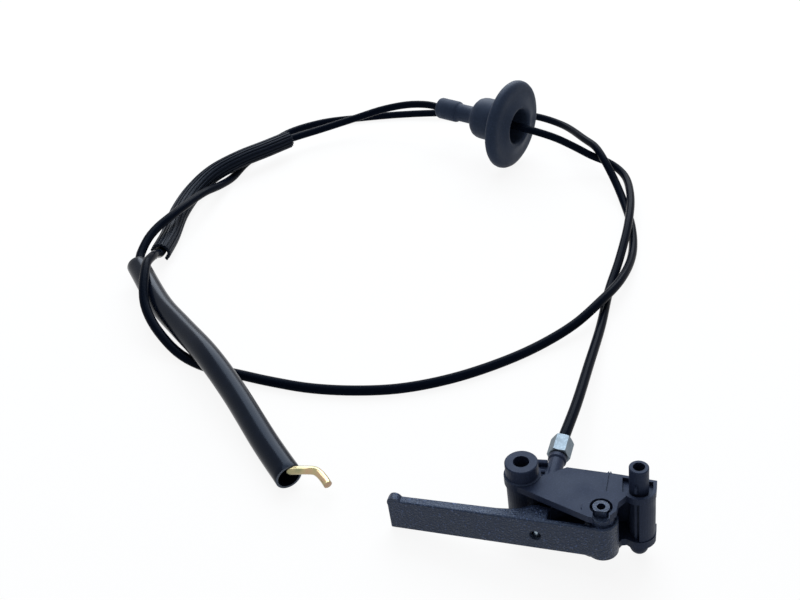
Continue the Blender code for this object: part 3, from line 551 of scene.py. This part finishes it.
def bracket_material():
    """The bracket's satin moulding."""
    return soft_plastic(
        "Bracket plastic", colors().bracket, scales=(1800.0, 90.0), bump=0.012 * MM, speckle=1.5,
        rough=(0.4, 0.54), shine=0.13)


def lever_material():
    """The lever's coarse moulded grain, with sparse pale specks painted into its colour as painted
    glints.
    """
    # speckle=4.2 with specks_from=0.59 paints sparse pale specks into the base colour: painted
    # glints on the grain
    return soft_plastic(
        "Lever plastic", colors().lever, scales=(1250.0, 120.0), bump=0.38 * MM, speckle=4.2,
        rough=(0.26, 0.38), shine=0.3, specks_from=0.59)


def sheath_material():
    """Glossy black, with little sheen at its edges."""
    return soft_plastic(
        "Sheath plastic", colors().sheath, scales=(900.0, 40.0), bump=0.004 * MM, speckle=1.4,
        rough=(0.12, 0.19), shine=0.1, ior=1.15)


def hose_material():
    """Black with a soft band of light along it."""
    return soft_plastic(
        "Hose plastic", colors().hose, scales=(260.0, 30.0), bump=0.006 * MM, speckle=1.3,
        rough=(0.18, 0.25), shine=0.3, ior=1.3)


def cut_hose_material():
    """The hose's sawn ends are paler and matte."""
    return soft_plastic(
        "Cut hose plastic", CUT_HOSE_COLOR, scales=(2400.0, 300.0), bump=0.03 * MM, speckle=1.3,
        rough=(0.5, 0.62), shine=0.3)


def grommet_material():
    """Matte rubber."""
    return soft_plastic(
        "Grommet rubber", colors().rubber, scales=(1500.0, 70.0), bump=0.02 * MM, speckle=1.6,
        rough=(0.46, 0.6), shine=0.14)


def sleeve_material():
    """The sleeve's rubber is darker and smoother than the grommet's."""
    return soft_plastic(
        "Sleeve rubber", lighter(colors().rubber, 0.3), scales=(1500.0, 80.0), bump=0.01 * MM,
        speckle=1.5, rough=(0.3, 0.42), shine=0.2, ior=1.25)


def plated_material(name, color, rough):
    """Zinc or steel, with its roughness between two values."""
    material, tree, shader = new_material(name, color, rough[0], metallic=1.0)
    add_grain(tree, shader, (1500.0, 260.0), 0.02 * MM, color, lighter(color, 1.35), rough)
    return material


def yellow_zinc_material():
    """Yellow passivation drifts between gold, green and rose."""
    color = colors().yellow_zinc
    material, tree, shader = new_material("Yellow zinc", color, 0.2, metallic=1.0)
    nodes, links = tree.nodes, tree.links
    place = nodes.new("ShaderNodeTexCoord")
    noise = nodes.new("ShaderNodeTexNoise")
    noise.inputs["Scale"].default_value = 170.0
    noise.inputs["Detail"].default_value = 3.0
    ramp = nodes.new("ShaderNodeValToRGB")
    ramp.color_ramp.elements[0].position = 0.3
    ramp.color_ramp.elements[0].color = GREEN_ZINC
    ramp.color_ramp.elements[1].position = 0.7
    ramp.color_ramp.elements[1].color = ROSE_ZINC
    middle = ramp.color_ramp.elements.new(0.5)
    middle.color = (*color, 1.0)
    links.new(place.outputs["Object"], noise.inputs["Vector"])
    links.new(noise.outputs["Fac"], ramp.inputs["Fac"])
    links.new(ramp.outputs["Color"], shader.inputs["Base Color"])
    return material


def cut_rod_material():
    """The rod's sheared end shows tan, uneven metal."""
    color = CUT_ROD_COLOR
    material, tree, shader = new_material("Cut rod", color, 0.5, metallic=0.55)
    add_grain(tree, shader, (2200.0, 400.0), 0.03 * MM, color, lighter(color, 1.25), (0.45, 0.6))
    return material


def seen_or_reflected(nodes, links):
    """A socket that is 1 for rays from the camera and in reflections, and 0 for all others."""
    rays = nodes.new("ShaderNodeLightPath")
    either = nodes.new("ShaderNodeMath")
    either.operation = "MAXIMUM"
    links.new(rays.outputs["Is Camera Ray"], either.inputs[0])
    links.new(rays.outputs["Is Glossy Ray"], either.inputs[1])
    return either.outputs["Value"]


class CABLE_OT_camera(Operator):
    """Camera at the photograph's view"""
    bl_idname = "cable.camera"
    bl_label = "Camera"

    def execute(self, context):
        data = bpy.data.cameras.new("Camera")
        data.sensor_width = SENSOR_WIDTH
        data.lens = FOCAL_PIXELS / PHOTO_WIDTH * SENSOR_WIDTH
        camera = bpy.data.objects.new("Camera", data)
        camera.location = CAMERA_PLACE
        camera.rotation_euler = (math.pi / 2 - CAMERA_DOWN, 0.0, 0.0)
        context.scene.collection.objects.link(camera)
        context.scene.camera = camera
        return {"FINISHED"}


class CABLE_OT_sheath(Operator):
    """The sheath at its real length, from the ferrule round the coil and into the hose"""
    bl_idname = "cable.sheath"
    bl_label = "Sheath"

    def execute(self, context):
        points = evenly(smooth(sheath_route()), SHEATH_SPACING)
        sheath = curve_line("cable_sheath", points)
        sheath.data.bevel_depth = sizes().sheath_diameter / 2
        sheath.data.bevel_resolution = 6
        sheath.data.use_fill_caps = True
        set_material(sheath, sheath_material())
        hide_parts("sheath")
        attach(sheath, "housing")
        return {"FINISHED"}


class CABLE_OT_hose(Operator):
    """The hose with its wall and its rounded ends"""
    bl_idname = "cable.hose"
    bl_label = "Hose"

    def execute(self, context):
        radius = sizes().hose_diameter / 2
        points = evenly(smooth(mm(HOSE_ROUTE)), HOSE_SPACING)
        hose = swept_mesh("hose_tube", circle(radius, HOSE_SIDES), points, caps=False)
        set_material(hose, hose_material())
        hose.data.materials.append(cut_hose_material())
        solid = hose.modifiers.new("Wall", "SOLIDIFY")
        solid.thickness = sizes().hose_wall
        solid.offset = -1.0
        solid.material_offset_rim = 1
        add_rounding(hose, "Rim", HOSE_RIM)
        apply_all_modifiers(hose)
        smooth_by_angle(hose, 40)
        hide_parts("hose")
        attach(hose, "housing")
        return {"FINISHED"}


class CABLE_OT_sleeve(Operator):
    """The ribbed sleeve, slit along its underside"""
    bl_idname = "cable.sleeve"
    bl_label = "Ribbed sleeve"

    def execute(self, context):
        outer = sizes().sleeve_radius
        shoulder = outer - RIB_ROUNDING
        low = -90.0 + SLEEVE_SLIT / 2
        pitch = (360.0 - SLEEVE_SLIT) / SLEEVE_RIBS
        # One rib after its groove: radius, start and end as shares of the pitch, steps
        parts = (
            (outer - RIB_HEIGHT, 0.02, 0.28, 2), (shoulder, 0.38, 0.4, 1),
            (outer, 0.48, 0.82, 3), (shoulder, 0.9, 0.92, 1),
        )
        section = []
        for i in range(SLEEVE_RIBS):
            start = low + pitch * i
            for radius, begin, end, steps in parts:
                angles = (start + begin * pitch, start + end * pitch)
                section += arc((0.0, 0.0), radius, *angles, steps)
        section += arc((0.0, 0.0), SLEEVE_BORE, low + pitch * SLEEVE_RIBS, low, SLEEVE_BORE_STEPS)
        points = evenly(smooth(mm(SLEEVE_ROUTE)), SLEEVE_SPACING)
        sleeve = swept_mesh("sleeve_ribbed", section, points)
        smooth_by_angle(sleeve, 35)
        set_material(sleeve, sleeve_material())
        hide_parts("ribbed_sleeve")
        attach(sleeve, "housing")
        return {"FINISHED"}


class CABLE_OT_grommet(Operator):
    """The grommet with its flange, bell mouth, bulb, neck and collar"""
    bl_idname = "cable.grommet"
    bl_label = "Grommet"

    def execute(self, context):
        profile = [(radius * MM, height * MM) for radius, height in GROMMET_PROFILE]
        grommet = turned_mesh("grommet_rubber", profile, GROMMET_STEPS, grommet_frame())
        smooth_by_angle(grommet, 50)
        set_material(grommet, grommet_material())
        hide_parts("grommet")
        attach(grommet, "housing")
        return {"FINISHED"}


class CABLE_OT_pull_rod(Operator):
    """The bent rod in the hose's mouth, with a rounded end"""
    bl_idname = "cable.pull_rod"
    bl_label = "Pull rod"

    def execute(self, context):
        radius = sizes().rod_diameter / 2
        straight = along(smooth(mm(HOSE_ROUTE)), ROD_START, ROD_STRAIGHT_END)
        bends = smooth([straight[-1]] + mm(ROD_BENDS))
        points = evenly(straight + bends[1:], ROD_SPACING)
        rod = swept_mesh("rod_bent", circle(radius, ROD_SIDES), points)
        set_material(rod, yellow_zinc_material())
        rod.data.materials.append(cut_rod_material())
        for face in rod.data.polygons:
            on_the_end = (face.center - points[-1]).length < 0.9 * radius
            face.material_index = int(on_the_end)
        add_rounding(rod, "Rounded end", ROD_END_ROUNDING)
        apply_all_modifiers(rod)
        smooth_by_angle(rod, 40)
        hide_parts("pull_rod")
        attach(rod, "housing")
        return {"FINISHED"}


class CABLE_OT_bracket_ribs(Operator):
    """The bracket's small ribs beside the cable tube, and the tick by the lever's neck"""
    bl_idname = "cable.bracket_ribs"
    bl_label = "Bracket ribs"

    def execute(self, context):
        ribs = [rib(*measures) for measures in BRACKET_RIBS]
        bpy.ops.object.select_all(action="DESELECT")
        for piece in ribs:
            piece.select_set(True)
        context.view_layer.objects.active = ribs[0]
        bpy.ops.object.join()
        piece = context.active_object
        piece.name = "bracket_ribs"
        piece.data.transform(housing_frame())
        smooth_by_angle(piece, 40)
        set_material(piece, bpy.data.materials["Bracket plastic"])
        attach(piece, "housing")
        return {"FINISHED"}


class CABLE_OT_bracket_and_lever(Operator):
    """Finishes of the bracket and the lever"""
    bl_idname = "cable.bracket_and_lever"
    bl_label = "Bracket and lever"

    def execute(self, context):
        dress_node("bracket", bracket_material())
        dress_node("lever", lever_material())
        return {"FINISHED"}


class CABLE_OT_metal_ends(Operator):
    """Finishes of the ferrule, nipple, wire and the parts inside the hose"""
    bl_idname = "cable.metal_ends"
    bl_label = "Metal ends"

    def execute(self, context):
        zinc = plated_material("Zinc plate", colors().zinc, (0.46, 0.58))
        steel = plated_material("Bright steel", lighter(colors().zinc, 2.0), (0.2, 0.32))
        for name in ("hex_ferrule", "sheath_end_cap", "crimp_barrel"):
            dress_node(name, zinc)
        for name in ("cable_nipple", "inner_wire", "pull_strand"):
            dress_node(name, steel)
        return {"FINISHED"}


class CABLE_OT_stage(Operator):
    """A white floor and soft lamps"""
    bl_idname = "cable.stage"
    bl_label = "Studio"

    def execute(self, context):
        bpy.ops.object.select_all(action="DESELECT")
        bpy.ops.mesh.primitive_plane_add(size=FLOOR_SIZE, location=FLOOR_PLACE)
        floor = context.active_object
        floor.name = "floor"
        set_material(floor, self.floor_material())
        self.world(context)
        for lamp in LAMPS:
            self.lamp(context, *lamp)
        return {"FINISHED"}

    def lamp(self, context, name, place, target, size, power):
        data = bpy.data.lights.new(name, "AREA")
        data.size = size
        data.energy = power
        data.color = LAMP_COLOR
        lamp = bpy.data.objects.new(name, data)
        lamp.location = place
        lamp.rotation_euler = (Vector(target) - Vector(place)).to_track_quat("-Z", "Y").to_euler()
        context.scene.collection.objects.link(lamp)

    def floor_material(self):
        """White to the camera and in reflections, with the object's own soft shadow."""
        material, tree, shader = new_material("Floor", FLOOR_COLOR, 0.9)
        nodes, links = tree.nodes, tree.links
        shader.inputs["Specular IOR Level"].default_value = 0.0
        glow = nodes.new("ShaderNodeEmission")
        glow.inputs["Color"].default_value = WHITE
        glow.inputs["Strength"].default_value = 1.0
        share = nodes.new("ShaderNodeMath")
        share.operation = "MULTIPLY"
        share.inputs[1].default_value = FLOOR_WHITE_SHARE
        mix = nodes.new("ShaderNodeMixShader")
        out = nodes["Material Output"]
        links.new(seen_or_reflected(nodes, links), share.inputs[0])
        links.new(share.outputs["Value"], mix.inputs["Fac"])
        links.new(shader.outputs["BSDF"], mix.inputs[1])
        links.new(glow.outputs["Emission"], mix.inputs[2])
        links.new(mix.outputs["Shader"], out.inputs["Surface"])
        return material

    def world(self, context):
        """White to the camera and in reflections, and a plain soft light on the object."""
        world = bpy.data.worlds.new("Studio")
        context.scene.world = world
        world.use_nodes = True
        nodes, links = world.node_tree.nodes, world.node_tree.links
        ambient = nodes["Background"]
        ambient.inputs["Color"].default_value = AMBIENT_COLOR
        ambient.inputs["Strength"].default_value = AMBIENT_STRENGTH
        backdrop = nodes.new("ShaderNodeBackground")
        backdrop.inputs["Color"].default_value = WHITE
        mix = nodes.new("ShaderNodeMixShader")
        links.new(seen_or_reflected(nodes, links), mix.inputs["Fac"])
        links.new(ambient.outputs["Background"], mix.inputs[1])
        links.new(backdrop.outputs["Background"], mix.inputs[2])
        links.new(mix.outputs["Shader"], nodes["World Output"].inputs["Surface"])
        context.scene.view_settings.view_transform = "Standard"


PIECES = (
    CABLE_OT_camera, CABLE_OT_grommet, CABLE_OT_sleeve, CABLE_OT_hose, CABLE_OT_pull_rod,
    CABLE_OT_sheath, CABLE_OT_bracket_and_lever, CABLE_OT_bracket_ribs, CABLE_OT_metal_ends,
    CABLE_OT_stage,
)


class CABLE_PT_panel(Panel):
    bl_label = "Hood release cable"
    bl_idname = "CABLE_PT_panel"
    bl_space_type = "VIEW_3D"
    bl_region_type = "UI"
    bl_category = "Cable"

    def draw(self, context):
        for piece in PIECES:
            self.layout.operator(piece.bl_idname)
        for group in (context.scene.cable_sizes, context.scene.cable_colors):
            for name in group.__annotations__:
                self.layout.prop(group, name)


CLASSES = (CableSizes, CableColors, *PIECES, CABLE_PT_panel)


def register():
    for item in CLASSES:
        bpy.utils.register_class(item)
    bpy.types.Scene.cable_sizes = PointerProperty(type=CableSizes)
    bpy.types.Scene.cable_colors = PointerProperty(type=CableColors)


def unregister():
    del bpy.types.Scene.cable_colors
    del bpy.types.Scene.cable_sizes
    for item in reversed(CLASSES):
        bpy.utils.unregister_class(item)


def main():
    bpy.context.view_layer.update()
    register()
    bpy.ops.cable.camera()
    bpy.ops.cable.grommet()
    bpy.ops.cable.sleeve()
    bpy.ops.cable.hose()
    bpy.ops.cable.pull_rod()
    bpy.ops.cable.sheath()
    bpy.ops.cable.bracket_and_lever()
    bpy.ops.cable.bracket_ribs()
    bpy.ops.cable.metal_ends()
    bpy.ops.cable.stage()


if __name__ == "__main__":
    main()
